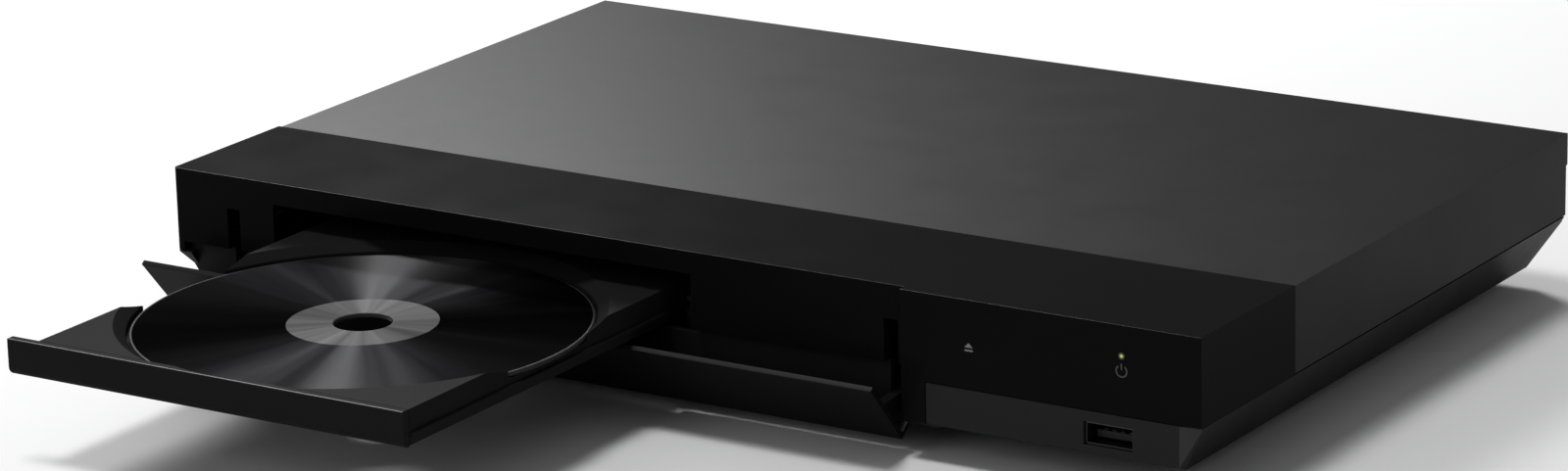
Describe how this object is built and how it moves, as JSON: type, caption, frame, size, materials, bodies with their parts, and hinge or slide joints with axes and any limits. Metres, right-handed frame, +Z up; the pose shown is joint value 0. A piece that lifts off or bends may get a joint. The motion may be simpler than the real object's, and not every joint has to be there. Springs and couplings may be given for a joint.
{
  "type": "disc player",
  "caption": "Low slim disc player with its disc tray slid out and its full-width front flap tipped open, with the drive, boards and sockets inside.",
  "frame": {"origin": "middle of the footprint on the shelf, with the tray out as in the picture", "axes": "+X to the right seen from the front, +Y towards the back, +Z up"},
  "size_m": [0.32, 0.327, 0.045],
  "materials": {
    "gloss_black": "high-gloss black",
    "band_grey": "fine matte texture",
    "cover_grey": "satin powder coat",
    "pan_steel": "satin powder coat",
    "zinc_steel": "zinc plated",
    "foot_rubber": "matte",
    "flap_black": "gloss black",
    "tray_grey": "satin dark grey",
    "disc_black": "mirror recording side, glossy black print side",
    "frame_plastic": "moulded black",
    "gear_white": "natural moulded",
    "gear_black": "moulded black",
    "belt_rubber": "matte",
    "motor_steel": "nickel plated",
    "rod_steel": "polished",
    "board_green": "solder mask",
    "chip_black": "matte",
    "sink_aluminium": "anodised",
    "socket_steel": "nickel plated",
    "lens_glass": "coated",
    "lamp_clear": "translucent",
    "ribbon_white": "flat cable",
    "socket_plastic": "moulded black",
    "socket_orange": "moulded",
    "pad_foam": "conductive foam",
    "transformer_tape": "taped winding",
    "lead_plastic": "insulated"
  },
  "bodies": {
    "case": {"front_bezel": "gloss_black", "lower_fascia": "band_grey", "base_pan": "pan_steel", "rear_panel": "pan_steel", "top_cover": "cover_grey", "rubber_feet": "foot_rubber", "cover_screws": "zinc_steel", "flap_brackets": "zinc_steel", "flap_hinge_pins": "rod_steel", "flap_springs": "rod_steel", "indicator_lens": "lamp_clear", "touch_board": "board_green", "touch_pads": "pad_foam", "usb_socket": "socket_steel", "usb_board": "board_green", "loader_frame": "frame_plastic", "clamp_bridge": "zinc_steel", "loader_screws": "zinc_steel", "loading_motor": "motor_steel", "drive_belt": "belt_rubber", "board_standoffs": "zinc_steel", "board_screws": "zinc_steel", "main_board": "board_green", "power_board": "board_green", "board_chips": "chip_black", "main_heatsink": "sink_aluminium", "board_capacitors": "chip_black", "hdmi_socket": "socket_steel", "lan_socket": "socket_steel", "coax_socket": "socket_orange", "ac_inlet": "socket_plastic", "transformer": "transformer_tape", "bulk_capacitor": "chip_black", "front_ribbon": "ribbon_white", "drive_ribbon": "ribbon_white", "power_harness": "lead_plastic"},
    "flap": {"front_flap": "flap_black"},
    "tray": {"tray": "tray_grey", "tray_front": "tray_grey"},
    "disc": {"disc": "disc_black"},
    "rack_gear": {"rack_gear": "gear_white"},
    "pulley_gear": {"pulley_gear": "gear_white"},
    "motor_pulley": {"motor_pulley": "gear_white"},
    "lift_cam": {"lift_cam": "gear_white"},
    "chassis": {"traverse_chassis": "frame_plastic", "spindle_motor": "motor_steel", "guide_rods": "rod_steel", "sled_motor": "motor_steel"},
    "turntable": {"turntable": "gear_black"},
    "clamp": {"clamp_puck": "gear_black"},
    "pickup": {"pickup": "sink_aluminium", "pickup_lens": "lens_glass"},
    "sled_gear": {"sled_gear": "gear_white"},
    "sled_pinion": {"sled_pinion": "gear_white"}
  },
  "joints": [
    {"name": "flap_hinge", "type": "hinge", "parent": "case", "child": "flap", "pos_m": [-0.0432, -0.0302, 0.0145], "axis": [1, 0, 0], "range_deg": [0, 6], "stiffness_Nm_per_rad": 0.008, "springref_deg": -42.97},
    {"name": "tray_slide", "type": "slide", "parent": "case", "child": "tray", "axis": [0, 1, 0], "range_m": [0, 0.112]},
    {"name": "disc_spin", "type": "hinge", "parent": "tray", "child": "disc", "pos_m": [-0.0592, -0.1017, 0.0286], "axis": [0, 0, 1], "continuous": true},
    {"name": "rack_gear_spin", "type": "hinge", "parent": "case", "child": "rack_gear", "pos_m": [-0.099, -0.0265, 0.02], "axis": [0, 0, 1], "range_deg": [-714, 0]},
    {"name": "pulley_gear_spin", "type": "hinge", "parent": "case", "child": "pulley_gear", "pos_m": [-0.081, -0.0265, 0.016], "axis": [0, 0, 1], "range_deg": [0, 1428]},
    {"name": "motor_pulley_spin", "type": "hinge", "parent": "case", "child": "motor_pulley", "pos_m": [-0.045, -0.0265, 0.014], "axis": [0, 0, 1], "range_deg": [0, 4130]},
    {"name": "traverse_lift", "type": "hinge", "parent": "case", "child": "chassis", "pos_m": [-0.0592, 0.0905, 0.012], "axis": [-1, 0, 0], "range_deg": [0, 4.2]},
    {"name": "lift_cam_slide", "type": "slide", "parent": "case", "child": "lift_cam", "axis": [1, 0, 0], "range_m": [0, 0.01201]},
    {"name": "turntable_spin", "type": "hinge", "parent": "chassis", "child": "turntable", "pos_m": [-0.0592, 0.00942, 0.02109], "axis": [0, -0.0732, 0.9973], "continuous": true},
    {"name": "clamp_spin", "type": "hinge", "parent": "case", "child": "clamp", "pos_m": [-0.0592, 0.0103, 0.038], "axis": [0, 0, 1], "continuous": true},
    {"name": "pickup_slide", "type": "slide", "parent": "chassis", "child": "pickup", "axis": [0, 0.9973, 0.0732], "range_m": [0, 0.033]},
    {"name": "sled_gear_spin", "type": "hinge", "parent": "chassis", "child": "sled_gear", "pos_m": [-0.0218, 0.05408, 0.01634], "axis": [0, -0.0732, 0.9973], "range_deg": [-316, 0]},
    {"name": "sled_pinion_spin", "type": "hinge", "parent": "chassis", "child": "sled_pinion", "pos_m": [-0.0218, 0.06306, 0.017], "axis": [0, -0.0732, 0.9973], "range_deg": [0, 632]}
  ],
  "couplings": [
    {"joint": "rack_gear_spin", "follows": "tray_slide", "rad_per_m": -111.11},
    {"joint": "pulley_gear_spin", "follows": "tray_slide", "rad_per_m": 222.22},
    {"joint": "motor_pulley_spin", "follows": "tray_slide", "rad_per_m": 641.98},
    {"joint": "lift_cam_slide", "follows": "traverse_lift", "m_per_rad": 0.1637},
    {"joint": "sled_gear_spin", "follows": "pickup_slide", "rad_per_m": -166.67},
    {"joint": "sled_pinion_spin", "follows": "pickup_slide", "rad_per_m": 333.33}
  ]
}
